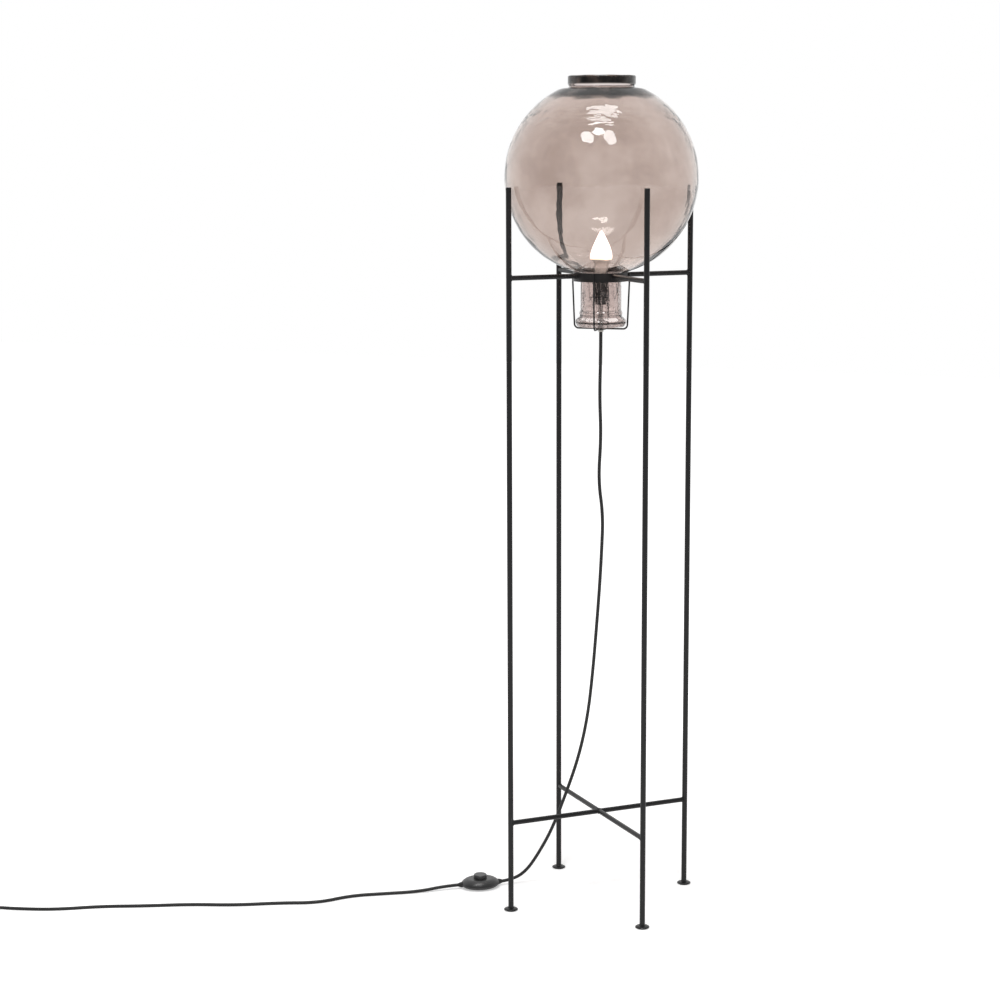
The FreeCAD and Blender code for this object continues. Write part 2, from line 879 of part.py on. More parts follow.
def switch_terminals():
    """Four brass clamps on the ends of the contact block."""
    solids = []
    for side in (-1, 1):
        for row in (-1, 1):
            x = side * (contact_block_length / 2 + brass_width / 2)
            solids.append(block(
                brass_width, brass_width, switch_floor, switch_floor + brass_height,
                x, row * brass_spacing / 2,
            ))
    return Part.makeCompound(solids)


def switch_gland():
    """Short bush clamped between the two halves, tapered outside the housing."""
    mouth = switch_length / 2 + gland_reach
    back = mouth - gland_length
    grip = gland_diameter / 2
    bush = turned(
        (0, back),
        (grip, back),
        (grip, switch_length / 2),
        (cord_radius + gland_lip, mouth),
        (0, mouth),
    )
    bush.rotate(FreeCAD.Vector(0, 0, 0), FreeCAD.Vector(0, 1, 0), 90)
    bush.translate(FreeCAD.Vector(0, 0, switch_seam))
    return bush


def on_floor_switch(shape, extra_turn=0.0):
    return placed(shape, switch_heading + extra_turn, switch_centre_x, switch_centre_y)


# ---------------------------------------------------------------- plug
# Drawn with the cord's end at the origin and the pins towards +X, then laid on the floor.
def on_floor_plug(shape):
    return placed(shape, plug_heading, plug_x, plug_y, plug_level)


def turned_along_x(start, *moves):
    shape = turned(start, *moves)
    shape.rotate(FreeCAD.Vector(0, 0, 0), FreeCAD.Vector(0, 1, 0), 90)
    return shape


def plug_relief():
    start = relief_start_diameter / 2
    end = relief_end_diameter / 2
    shape = turned_along_x((0, 0), (start, 0), (end, relief_length), (0, relief_length))
    pitch = relief_length / (relief_grooves + 2)
    for number in range(relief_grooves):
        x = pitch * (number + 1)
        depth = start + (end - start) * x / relief_length - relief_groove_depth
        ring = hoop(end + relief_groove_depth, depth, x, x + relief_groove_width)
        ring.rotate(FreeCAD.Vector(0, 0, 0), FreeCAD.Vector(0, 1, 0), 90)
        shape = shape.cut(ring)
    return shape


def plug_body():
    """Flat body that widens from the cord to the pins' face, with rounded edges."""
    half = plug_width / 2
    tail = plug_tail_width / 2
    front = relief_length + plug_length
    low = -plug_thickness / 2
    outline = [
        (relief_length, -tail), (front - plug_nose, -half), (front, -half),
        (front, half), (front - plug_nose, half), (relief_length, tail),
    ]
    corners = [FreeCAD.Vector(x, y, low) for x, y in outline + outline[:1]]
    shape = Part.Face(Part.makePolygon(corners)).extrude(FreeCAD.Vector(0, 0, plug_thickness))
    upright = [edge for edge in shape.Edges if edge.BoundBox.ZLength > plug_thickness / 2]
    shape = shape.makeFillet(plug_edge, upright)
    flat = [edge for edge in shape.Edges if edge.BoundBox.ZLength < plug_edge / 10]
    return shape.makeFillet(plug_edge, flat)


def plug_pins():
    face = relief_length + plug_length
    tip = face + pin_length
    sleeve_end = face + pin_sleeve_length
    pins = []
    for side in (-1, 1):
        pin = turned_along_x(
            (0, face),
            (pin_core_diameter / 2, face),
            (pin_core_diameter / 2, sleeve_end),
            (pin_diameter / 2, sleeve_end),
            (pin_diameter / 2, tip - pin_diameter / 4),
            (pin_diameter / 4, tip),
            (0, tip),
        )
        pin.translate(FreeCAD.Vector(0, side * pin_spacing / 2, 0))
        pins.append(pin)
    return Part.makeCompound(pins)


def plug_pin_sleeves():
    face = relief_length + plug_length
    sleeves = []
    for side in (-1, 1):
        sleeve = hoop(pin_sleeve_diameter / 2, pin_core_diameter / 2, face, face + pin_sleeve_length)
        sleeve.rotate(FreeCAD.Vector(0, 0, 0), FreeCAD.Vector(0, 1, 0), 90)
        sleeve.translate(FreeCAD.Vector(0, side * pin_spacing / 2, 0))
        sleeves.append(sleeve)
    return Part.makeCompound(sleeves)


# ---------------------------------------------------------------- cord
def cord_tube(points, label):
    radii = largest_radii(points)
    path = rounded_path(points, radii)
    tube = swept(path, cord_radius)
    by_length = math.pi * cord_radius ** 2 * path.Length
    print(label, "length", round(path.Length, 1), "least radius", round(min(radii), 1))
    print(label, "radii", [round(radius) for radius in radii])
    print(label, "volume over section times length", round(tube.Volume / by_length, 4))
    return tube


def upper_cord():
    mouth = switch_length / 2 + gland_reach
    end = ahead(switch_heading + 180, mouth, switch_centre_x, switch_centre_y)
    beside = ahead(switch_heading + 180, mouth + gland_run, switch_centre_x, switch_centre_y)
    points = upper_route + [(*beside, switch_seam), (*end, switch_seam)]
    return cord_tube(points, "cord_upper")


def lower_cord():
    mouth = switch_length / 2 + gland_reach
    start = ahead(switch_heading, mouth, switch_centre_x, switch_centre_y)
    beside = ahead(switch_heading, mouth + gland_run, switch_centre_x, switch_centre_y)
    before_plug = ahead(plug_heading + 180, plug_run, plug_x, plug_y)
    points = [(*start, switch_seam), (*beside, switch_seam)] + lower_route
    points += [(*before_plug, plug_level), (plug_x, plug_y, plug_level)]
    return cord_tube(points, "cord_lower")


# ---------------------------------------------------------------- assembly
leg_places = {
    "front_left": (-leg_offset, -leg_offset),
    "front_right": (leg_offset, -leg_offset),
    "back_right": (leg_offset, leg_offset),
    "back_left": (-leg_offset, leg_offset),
}
cage_places = {"left": 180, "front": 270, "right": 0, "back": 90}


def lamp():
    nodes = {}
    legs = {name: leg(x, y) for name, (x, y) in leg_places.items()}
    for name, (x, y) in leg_places.items():
        nodes["leg_" + name] = legs[name]
        nodes["foot_" + name] = foot(x, y)
        nodes["foot_pad_" + name] = foot_pad(x, y)
        nodes["arm_" + name] = arm(x, y, legs[name])
    start = (*leg_places["back_left"], brace_height)
    end = (*leg_places["front_right"], brace_height)
    through = bar(start, end, brace_radius, (leg_radius, leg_radius))
    through = through.cut(legs["back_left"]).cut(legs["front_right"])
    nodes["brace_through_bar"] = through
    for name, half in brace_halves(legs, through).items():
        nodes["brace_half_" + name] = half
    nodes["support_ring"] = support_ring()
    for name, degrees in cage_places.items():
        nodes["cage_wire_" + name] = cage_wire(degrees + cage_turn)
    nodes["cage_boss"] = cage_boss()
    nodes["globe_glass"] = globe_glass()
    nodes["stem_pipe"] = stem_pipe()
    nodes["stem_locknut"] = stem_locknut()
    nodes["cord_bush"] = cord_bush()
    nodes["holder_cap"] = holder_cap()
    nodes["holder_sleeve"] = holder_sleeve()
    nodes["holder_insulator"] = holder_insulator()
    nodes["holder_terminals"] = holder_terminals()
    nodes["holder_contact"] = holder_contact()
    nodes["holder_screw_shell"] = holder_screw_shell()
    nodes["bulb_tip"] = bulb_tip()
    nodes["bulb_cap_insulator"] = bulb_cap_insulator()
    nodes["bulb_cap"] = bulb_cap()
    nodes["bulb_body"] = bulb_body()
    nodes["bulb_dome"] = bulb_dome()
    nodes["bulb_led_plate"] = led_plate()
    nodes["bulb_led_chips"] = led_chips()
    nodes["switch_base"] = on_floor_switch(switch_base())
    nodes["switch_cover"] = on_floor_switch(switch_cover())
    nodes["switch_button"] = on_floor_switch(switch_button())
    nodes["switch_spring"] = on_floor_switch(switch_spring())
    nodes["switch_contact_block"] = on_floor_switch(switch_contact_block())
    nodes["switch_terminals"] = on_floor_switch(switch_terminals())
    nodes["switch_screws"] = on_floor_switch(switch_screws())
    nodes["switch_pads"] = on_floor_switch(switch_pads())
    nodes["switch_gland_in"] = on_floor_switch(switch_gland(), 180)
    nodes["switch_gland_out"] = on_floor_switch(switch_gland())
    nodes["cord_upper"] = upper_cord()
    nodes["cord_lower"] = lower_cord()
    nodes["plug_relief"] = on_floor_plug(plug_relief())
    nodes["plug_body"] = on_floor_plug(plug_body())
    nodes["plug_pins"] = on_floor_plug(plug_pins())
    nodes["plug_pin_sleeves"] = on_floor_plug(plug_pin_sleeves())
    return nodes


def main():
    os.makedirs("parts", exist_ok=True)
    nodes = lamp()
    for name, shape in nodes.items():
        if not shape.isValid() or not shape.Solids:
            print("check", name, "valid", shape.isValid(), "solids", len(shape.Solids))
        shape.exportStep(os.path.join("parts", name + ".step"))
    print(len(nodes), "nodes")


main()
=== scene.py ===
# %% [markdown]
# # Globe floor lamp
#
# A slender square stand of round black bars cradles a large blown globe of smoked glass. The
# globe rests on a flat ring, its neck hangs through the ring into a cage of bent wire, and a
# bulb stands up from the cage into the globe. The cord hangs from the cage, runs through a
# foot switch on the floor and ends in a plug.
#
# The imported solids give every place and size. This file adds what the eye looks for: the
# uneven glass, the welds, the coating on the bars, the glow of the bulb, and the finishes.

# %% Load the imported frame
import json
import math

import bmesh
import bpy
import numpy as np
from mathutils import Euler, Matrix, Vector


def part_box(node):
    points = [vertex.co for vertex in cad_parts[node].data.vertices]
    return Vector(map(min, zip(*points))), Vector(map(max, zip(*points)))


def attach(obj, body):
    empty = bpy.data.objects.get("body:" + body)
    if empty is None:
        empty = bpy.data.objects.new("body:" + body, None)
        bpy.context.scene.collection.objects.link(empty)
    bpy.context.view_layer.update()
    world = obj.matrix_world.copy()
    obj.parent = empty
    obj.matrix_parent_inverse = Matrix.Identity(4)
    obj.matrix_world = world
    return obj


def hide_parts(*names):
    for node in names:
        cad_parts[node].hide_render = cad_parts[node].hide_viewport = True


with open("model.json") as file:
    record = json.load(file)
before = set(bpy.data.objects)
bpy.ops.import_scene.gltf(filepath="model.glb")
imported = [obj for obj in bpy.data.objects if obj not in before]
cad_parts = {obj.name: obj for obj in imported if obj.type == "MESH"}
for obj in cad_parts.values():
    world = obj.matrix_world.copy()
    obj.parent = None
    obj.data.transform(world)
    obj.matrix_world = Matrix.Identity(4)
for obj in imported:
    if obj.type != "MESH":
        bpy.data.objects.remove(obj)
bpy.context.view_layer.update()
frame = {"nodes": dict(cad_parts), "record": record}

# %% [markdown]
# ## Where the camera stands
#
# The photograph was taken from the height of the globe's upper half, from the right of the
# stand, looking a little down through a long lens. A camera is fixed by its place, its three
# turns and its lens, and these seven numbers were worked out from where the feet, the brace
# and the leg tops lie in the picture. The other way would be to move the camera by eye until
# the picture fits, which never quite does.

# %% Camera
camera_place = (1.316034, -3.784931, 1.437429)
camera_turn = (80.4399, 0.2367, 21.7701)       # degrees: tilt up from straight down, roll, heading
lens_length = 79.44                            # millimetres, on a sensor 36 mm wide

camera_lens = bpy.data.cameras.new("studio_camera")
camera_lens.lens = lens_length
camera_lens.sensor_width = 36.0
camera_lens.sensor_fit = "HORIZONTAL"
studio_camera = bpy.data.objects.new("studio_camera", camera_lens)
studio_camera.location = camera_place
studio_camera.rotation_euler = Euler([math.radians(turn) for turn in camera_turn])
bpy.context.scene.collection.objects.link(studio_camera)
bpy.context.scene.camera = studio_camera
print("camera at", camera_place, "lens", lens_length, "mm")

# %% [markdown]
# ## Surfaces from numbers
#
# Most of the lamp is either turned round an axis or drawn along a line, so each of its
# surfaces is a grid: one direction of the grid runs along the shape and the other runs round
# it. Numpy works out all points of a grid at once, and one function turns a grid into a mesh.
# Modelling the same pieces by hand would give the same faces, but not their exact places.

# %% A grid becomes a piece
def make_piece(name, grids, body, stands_for=(), slot=None, hoop=False, crease=35.0):
    """Closed piece from one or more grids of points (rows, columns, xyz).

    Each point is joined to the next in its row and in the next row, and the last column to
    the first. In a hoop the last row is joined to the first as well; otherwise each end row
    is closed by one flat face, or has run together in a point.
    """
    points, faces, used = [], [], 0
    for grid in grids:
        rows, columns = grid.shape[:2]
        corner = used + np.arange(rows * columns).reshape(rows, columns)
        corner = np.hstack([corner, corner[:, :1]])
        if hoop:
            corner = np.vstack([corner, corner[:1]])
        sides = (corner[:-1, :-1], corner[:-1, 1:], corner[1:, 1:], corner[1:, :-1])
        faces += np.stack(sides, axis=-1).reshape(-1, 4).tolist()
        if not hoop:
            faces += [corner[0, :-1][::-1].tolist(), corner[-1, :-1].tolist()]
        points.append(grid.reshape(-1, 3))
        used += rows * columns
    mesh = bpy.data.meshes.new(name)
    mesh.from_pydata(np.vstack(points).tolist(), [], faces)
    work = bmesh.new()
    work.from_mesh(mesh)
    bmesh.ops.remove_doubles(work, verts=work.verts, dist=1e-7)
    bmesh.ops.recalc_face_normals(work, faces=work.faces)
    work.to_mesh(mesh)
    work.free()
    mesh.polygons.foreach_set("use_smooth", np.ones(len(mesh.polygons), dtype=bool))
    mesh.set_sharp_from_angle(angle=math.radians(crease))
    piece = bpy.data.objects.new(name, mesh)
    bpy.context.scene.collection.objects.link(piece)
    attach(piece, body)
    if stands_for:
        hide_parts(*stands_for)
    if slot:
        mesh.materials.append(finishes[slot])
    return piece


def turns(count):
    """Angles of one full turn, in radians, without the last, which is the first again."""
    return np.linspace(0, 2 * np.pi, count, endpoint=False)


def turned_grid(profile, count):
    """A profile (distance, height) turned round Z: x = distance cos, y = distance sin."""
    angle = turns(count)[None, :]
    distance, height = profile[:, :1], profile[:, 1:]
    return np.stack(
        [distance * np.cos(angle), distance * np.sin(angle), height + 0 * angle], axis=-1
    )


def smooth_run(points, steps, closed=False):
    """Catmull-Rom curve: between two points it leaves each in the direction of its neighbours.

    With a, b, c, d in a row, it is b at t = 0, c at t = 1, and a cubic in t between them whose
    slope at b is (c - a) / 2 and at c is (d - b) / 2.
    """
    points = np.asarray(points, dtype=float)
    if closed:
        before, start = np.roll(points, 1, axis=0), points
        end, after = np.roll(points, -1, axis=0), np.roll(points, -2, axis=0)
    else:
        start, end = points[:-1], points[1:]
        before = np.vstack([points[:1], points[:-2]])
        after = np.vstack([points[2:], points[-1:]])
    t = np.linspace(0, 1, steps, endpoint=False)[None, :, None]
    before, start, end, after = (part[:, None, :] for part in (before, start, end, after))
    run = 0.5 * (
        2 * start + (end - before) * t
        + (2 * before - 5 * start + 4 * end - after) * t ** 2
        + (3 * start - before - 3 * end + after) * t ** 3
    )
    run = run.reshape(-1, points.shape[1])
    return run if closed else np.vstack([run, points[-1:]])


def arc(centre, radius, first, last, count):
    """Points (distance, height) on a circle, between two angles in degrees."""
    angle = np.radians(np.linspace(first, last, count))
    return np.column_stack([centre[0] + radius * np.cos(angle), centre[1] + radius * np.sin(angle)])


print("grid of a turned profile:", turned_grid(np.array([[0.1, 0.0], [0.1, 0.2]]), 8).shape)

# %% [markdown]
# ## The cord
#
# A cord is one fixed length of something flexible, so it is one smooth line with a round
# section. The line is a NURBS spline: its control points pull the line towards them without
# ever making a corner, as a real cord takes a bend. The points are those of the solid's
# route, and the last few before the switch lie up to 5 mm higher, as in the photograph. The
# first stretch hangs from the bush under the cage, leans out between the brace bars and comes
# down to the foot switch. The second leaves the switch and lies on the floor in loose bends
# as far as its plug.
#
# A curve object with a round bevel would draw a cord by itself. Here Blender only works out
# the spline, and a circle is carried along the points read from it, so that each cord is a
# mesh like every other piece, and its box is known exactly.

# %% Cord routes
cord_width = 0.0062
cord_sides = 20
steps_per_span = 14                            # points worked out for each control point
upper_route = np.array([
    (0.0, 0.0, 1.0725), (0.0, 0.0, 1.030), (-0.002, 0.0, 0.955), (0.001, 0.001, 0.880),
    (-0.004, 0.0, 0.800), (0.006, -0.001, 0.735), (0.003, 0.0, 0.665), (-0.001, 0.001, 0.600),
    (-0.007, 0.001, 0.520), (-0.014, 0.001, 0.435), (-0.024, 0.002, 0.350),
    (-0.042, 0.004, 0.270), (-0.070, 0.006, 0.190), (-0.100, 0.010, 0.115),
    (-0.130, 0.015, 0.062), (-0.152, 0.017, 0.029), (-0.17400, 0.00826, 0.0105),
    (-0.19501, -0.00700, 0.008),
])
lower_route = np.array([
    (-0.26459, -0.05758, 0.008), (-0.28562, -0.07287, 0.008), (-0.327, -0.107, 0.0031),
    (-0.383, -0.141, 0.0031), (-0.437, -0.174, 0.0031), (-0.478, -0.231, 0.0031),
    (-0.545, -0.258, 0.0031), (-0.618, -0.299, 0.0031), (-0.697, -0.325, 0.0031),
    (-0.774, -0.364, 0.0031), (-0.850, -0.396, 0.0031), (-0.920, -0.441, 0.0031),
    (-0.988, -0.463, 0.0031), (-1.03204, -0.48085, 0.00685), (-1.059, -0.494, 0.00685),
])


def along_spline(route):
    """Points along the NURBS spline of order 3 whose control points are the route's points."""
    line = bpy.data.curves.new("route", "CURVE")
    line.dimensions = "3D"
    spline = line.splines.new("NURBS")
    spline.points.add(len(route) - 1)
    spline.points.foreach_set("co", np.column_stack([route, np.ones(len(route))]).ravel())
    spline.order_u = 3
    spline.use_endpoint_u = True
    spline.resolution_u = steps_per_span
    bare_line = bpy.data.objects.new("route", line)
    read = bpy.data.meshes.new_from_object(bare_line)
    places = np.empty(3 * len(read.vertices))
    read.vertices.foreach_get("co", places)
    bpy.data.objects.remove(bare_line)
    bpy.data.curves.remove(line)
    bpy.data.meshes.remove(read)
    return places.reshape(-1, 3)


def cord_grid(line, width, aside):
    """Circle carried along a line: point + width / 2 (across cos + over sin).

    Across is at right angles to the line and to aside, a direction that the line never takes,
    and over is at right angles to the line and to across.
    """
    ahead = np.gradient(line, axis=0)
    ahead /= np.linalg.norm(ahead, axis=1, keepdims=True)
    across = np.cross(aside, ahead)
    across /= np.linalg.norm(across, axis=1, keepdims=True)
    over = np.cross(ahead, across)
    angle = turns(cord_sides)[None, :, None]
    spoke = across[:, None] * np.cos(angle) + over[:, None] * np.sin(angle)
    return line[:, None] + width / 2 * spoke


hanging_line, floor_line = along_spline(upper_route), along_spline(lower_route)
hanging_cord = make_piece(
    "hanging_cord", [cord_grid(hanging_line, cord_width, (0.0, 1.0, 0.0))], "stand",
    ["cord_upper"],
)
floor_cord = make_piece(
    "floor_cord", [cord_grid(floor_line, cord_width, (0.0, 0.0, 1.0))], "stand", ["cord_lower"]
)
print("cords:", len(hanging_line), "and", len(floor_line), "points along their lines")

# %% [markdown]
# ## Shader sums in plain Python
#
# A Blender material is a net of nodes, and even "half of this plus that" takes two of them.
# The small class below wraps one output of a node, so that Python's own signs add the Math
# nodes. Everything else comes from one method, `node`, which takes a node's kind, its
# settings and the values or links of its inputs.

# %% A wire in a material
def socket_called(sockets, name):
    """A node's socket by number, by name, or by identifier where several share a name."""
    if isinstance(name, int):
        return sockets[name]
    return next(socket for socket in sockets if name in (socket.identifier, socket.name))


class Wire:
    """One output of a shader node, for use in sums, products and other nodes."""

    def __init__(self, tree, output=None):
        self.tree = tree
        self.output = output

    def node(self, kind, settings, inputs, output=0):
        """Adds a node: its settings first, then its inputs by name or number."""
        made = self.tree.nodes.new("ShaderNode" + kind)
        for name, value in settings.items():
            setattr(made, name, value)
        for name, value in inputs.items():
            self.join(socket_called(made.inputs, name), value)
        return Wire(self.tree, socket_called(made.outputs, output))

    def join(self, socket, value):
        """Links a wire to a socket, or sets the socket's own value."""
        if isinstance(value, Wire):
            self.tree.links.new(value.output, socket)
        elif isinstance(value, tuple) and len(value) == 3 and socket.type == "RGBA":
            socket.default_value = (*value, 1.0)
        else:
            socket.default_value = value

    def maths(self, operation, *terms):
        """Adds a Math node; its terms are wires or numbers."""
        return self.node("Math", {"operation": operation}, dict(enumerate(terms)))

    def __add__(self, other):
        return self.maths("ADD", self, other)

    def __sub__(self, other):
        return self.maths("SUBTRACT", self, other)

    def __rsub__(self, other):
        return self.maths("SUBTRACT", other, self)

    def __mul__(self, other):
        return self.maths("MULTIPLY", self, other)

    __radd__ = __add__
    __rmul__ = __mul__

    def between(self, low, high, floor=0.0, ceiling=1.0):
        """Eased step: floor where the wire is under low, ceiling where it is over high."""
        return self.node(
            "MapRange", {"interpolation_type": "SMOOTHSTEP"},
            {"Value": self, "From Min": low, "From Max": high, "To Min": floor, "To Max": ceiling},
        )

    def near(self, middle, width):
        """Soft line: 1 where the wire is at the middle, 0 a width away on either side."""
        rising = self.between(middle - width, middle)
        return rising * self.between(middle, middle + width, 1.0, 0.0)

    def colours(self, first, second):
        """The first colour where the wire is 0, the second where it is 1."""
        return self.node(
            "Mix", {"data_type": "RGBA"},
            {"Factor_Float": self, "A_Color": first, "B_Color": second}, "Result_Color",
        )


class Finish(Wire):
    """A new material with one Principled shader, and wires to build it from."""

    def __init__(self, name):
        self.material = bpy.data.materials.new(name)
        self.material.use_nodes = True
        super().__init__(self.material.node_tree)
        self.tree.nodes.clear()
        self.surface = self.tree.nodes.new("ShaderNodeOutputMaterial")
        self.shader = self.tree.nodes.new("ShaderNodeBsdfPrincipled")
        self.tree.links.new(self.shader.outputs["BSDF"], self.surface.inputs["Surface"])
        self.place = self.node("TexCoord", {}, {}, "Object")

    def set(self, **values):
        """Sets or links the shader's sockets; an underscore in a name stands for a space."""
        for name, value in values.items():
            self.join(self.shader.inputs[name.replace("_", " ")], value)

    def height(self):
        """Height above the floor, in metres."""
        return self.node("SeparateXYZ", {}, {"Vector": self.place}, "Z")

    def cloud(self, scale, detail=2.0, roughness=0.5, along=None, seed=0.0):
        """Soft noise from 0 to 1; scale is how many blobs fit in a metre."""
        place = self.place if along is None else self.node(
            "Mapping", {}, {"Vector": self.place, "Scale": along}
        )
        return self.node(
            "TexNoise", {"noise_dimensions": "4D"},
            {"Vector": place, "W": seed, "Scale": scale, "Detail": detail, "Roughness": roughness},
            "Fac",
        )

    def bump(self, height, depth, strength, below=None):
        """Turns a height from 0 to 1 into a surface direction; depth is in metres."""
        inputs = {"Height": height, "Distance": depth, "Strength": strength}
        if below is not None:
            inputs["Normal"] = below
        return self.node("Bump", {}, inputs)


print("shader helpers ready")

# %% [markdown]
# ## Satin black bars
#
# The bars are steel tube with a black powder coat. The powder is sprayed dry and melts in an
# oven, so the skin is satin, with a very fine "orange peel" and slightly uneven gloss. Two
# noises make that: a broad one shifts colour and roughness a little, and one finer than a
# millimetre feeds a Bump node. A flat black would show neither, and would look like plastic.
# The pads under the feet are pressed felt, whose fibres are one fine, rough noise.

# %% Finishes of the stand
finishes = {}


def coated_steel():
    """Satin black powder coat: patches of colour and gloss, and a fine orange peel."""
    finish = Finish("black_steel")
    patches = finish.cloud(9.0, 3.0)
    peel = finish.cloud(1300.0, 2.0)
    finish.set(
        Base_Color=patches.colours((0.008, 0.008, 0.0085), (0.017, 0.017, 0.018)),
        Roughness=patches.between(0.2, 0.8, 0.24, 0.33),
        Normal=finish.bump(peel, 0.00003, 0.5),
        Specular_IOR_Level=0.34,
    )
    return finish.material


def pressed_felt():
    """Dark felt: one fine noise gives its colour, roughness and fibres."""
    finish = Finish("felt")
    fibres = finish.cloud(2400.0, 4.0, 0.7)
    finish.set(
        Base_Color=fibres.colours((0.02, 0.02, 0.02), (0.07, 0.07, 0.07)),
        Roughness=fibres.between(0.0, 1.0, 0.85, 1.0),
        Normal=finish.bump(fibres, 0.0003, 0.8),
    )
    return finish.material


finishes["black_steel"] = coated_steel()
finishes["felt"] = pressed_felt()
print("stand finishes:", sorted(finishes))

# %% [markdown]
# ## Plated, moulded and glazed parts
#
# Three helpers cover the small parts. Plated metal is fully metallic, and its polish runs in
# fine lines, so its noise is stretched along one direction. A moulded part has the fine spark
# pattern of its mould. A glazed or glossy one has almost no grain, but its thin skin of glaze
# is uneven. Each helper takes its own colours and scales, so no two parts look the same.

# %% Finishes of the small parts
def plated(name, dark, light, rough, along=(1.0, 1.0, 0.05)):
    """Bright metal; the polishing lines run in the direction where along is small."""
    finish = Finish(name)
    lines = finish.cloud(1800.0, 3.0, 0.6, along)
    tarnish = finish.cloud(60.0, 3.0)
    finish.set(
        Base_Color=tarnish.colours(dark, light),
        Metallic=1.0,
        Roughness=lines.between(0.2, 0.8, rough, rough + 0.14),
        Normal=finish.bump(lines, 0.00002, 0.4),
    )
    return finish.material


def moulded(name, dark, light, rough, grain, depth, coat=0.0):
    """Moulded part: grain is the number of sparks in a metre, depth their depth in metres."""
    finish = Finish(name)
    flow = finish.cloud(35.0, 2.0)
    sparks = finish.cloud(grain, 2.0, 0.6)
    finish.set(
        Base_Color=flow.colours(dark, light),
        Roughness=(flow * 0.08 + sparks * 0.08) + rough,
        Normal=finish.bump(sparks, depth, 0.5),
        Coat_Weight=coat,
    )
    return finish.material


for name, dark, light, rough, *along in (
    ("zinc_steel", (0.42, 0.42, 0.43), (0.58, 0.58, 0.57), 0.30),
    ("brass", (0.62, 0.44, 0.17), (0.80, 0.61, 0.28), 0.26),
    ("nickel", (0.56, 0.54, 0.50), (0.72, 0.70, 0.66), 0.16),
    ("spring_steel", (0.36, 0.36, 0.37), (0.50, 0.50, 0.50), 0.28),
    ("aluminium_plate", (0.70, 0.70, 0.71), (0.82, 0.82, 0.82), 0.34, (1.0, 0.05, 1.0)),
):
    finishes[name] = plated(name, dark, light, rough, *along)
for name, dark, light, rough, grain, depth, *coat in (
    ("black_plastic", (0.004, 0.004, 0.004), (0.009, 0.009, 0.009), 0.38, 1500.0, 0.00005),
    ("switch_plastic", (0.020, 0.020, 0.021), (0.034, 0.034, 0.035), 0.30, 1100.0, 0.00004, 0.15),
    ("black_rubber", (0.010, 0.010, 0.010), (0.018, 0.018, 0.018), 0.55, 900.0, 0.00006),
    ("rubber_pad", (0.014, 0.014, 0.014), (0.026, 0.026, 0.026), 0.62, 700.0, 0.00008),
    ("black_cord", (0.008, 0.008, 0.008), (0.016, 0.016, 0.016), 0.44, 1200.0, 0.00004),
    ("pale_nylon", (0.62, 0.60, 0.54), (0.72, 0.70, 0.64), 0.36, 900.0, 0.00003),
    ("white_ceramic", (0.66, 0.64, 0.58), (0.76, 0.74, 0.69), 0.14, 300.0, 0.00003, 0.5),
    ("white_plastic", (0.74, 0.73, 0.70), (0.82, 0.81, 0.79), 0.30, 1300.0, 0.00003),
    ("led_phosphor", (0.72, 0.56, 0.12), (0.86, 0.72, 0.22), 0.40, 2500.0, 0.00003),
):
    finishes[name] = moulded(name, dark, light, rough, grain, depth, *coat)
print("finishes so far:", len(finishes))

# %% [markdown]
# ## The lit dome
#
# The bulb's dome is frosted plastic over a plate of small light sources, so it glows all over
# and is only warmer and dimmer at its foot. Lights inside a milky shell would do the same, but
# slowly and with much noise, so the dome's surface gives off the light itself.

# %% Finish of the lit dome
warm_share = 0.16                              # of the dome's height, from its foot up


def lit_dome():
    """Frosted dome over the lights: bright all over, and warmer and dimmer at its foot."""
    finish = Finish("frosted_dome")
    height = finish.height()
    low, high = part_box("bulb_dome")
    middle = height.between(low.z, low.z + warm_share * (high.z - low.z))
    frost = finish.cloud(2600.0, 2.0)
    finish.set(
        Base_Color=frost.colours((0.84, 0.82, 0.78), (0.92, 0.90, 0.86)),
        Roughness=frost.between(0.0, 1.0, 0.42, 0.58),
        Normal=finish.bump(frost, 0.00003, 0.4),
        Emission_Color=middle.colours((0.80, 0.62, 0.46), (1.0, 0.985, 0.96)),
        Emission_Strength=2.2,
    )
    return finish.material


finishes["frosted_dome"] = lit_dome()
print("dome is warmer in the lowest", warm_share, "of its height")

# %% [markdown]
# ## Smoked glass
#
# The globe is one wall of blown glass with a rosy smoke in it. A volume inside the wall could
# tint it by its real depth. Here the surface carries the tint, so that each place can have a
# colour of its own: darker where the real wall is thicker or cloudier, darker still where shade
# is painted in, in the collar, in the band under it and round the neck's foot, and paler towards
# the outline as a painted reflection; and so that rays from the lamps can be let straight
# through. Waves, turning marks and seeds go into Bump nodes, one on top of the other.

# %% Places on the globe
globe_low, globe_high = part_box("globe_glass")
rim_level = globe_low.z
collar_height = 0.0218
centre_under_shoulder = 0.1588
neck_top = 0.105                               # metres above the rim, where the neck ends
shoulder_level = globe_high.z - collar_height
globe_centre = shoulder_level - centre_under_shoulder
print("globe: centre at", round(globe_centre, 4), "shoulder at", round(shoulder_level, 4))

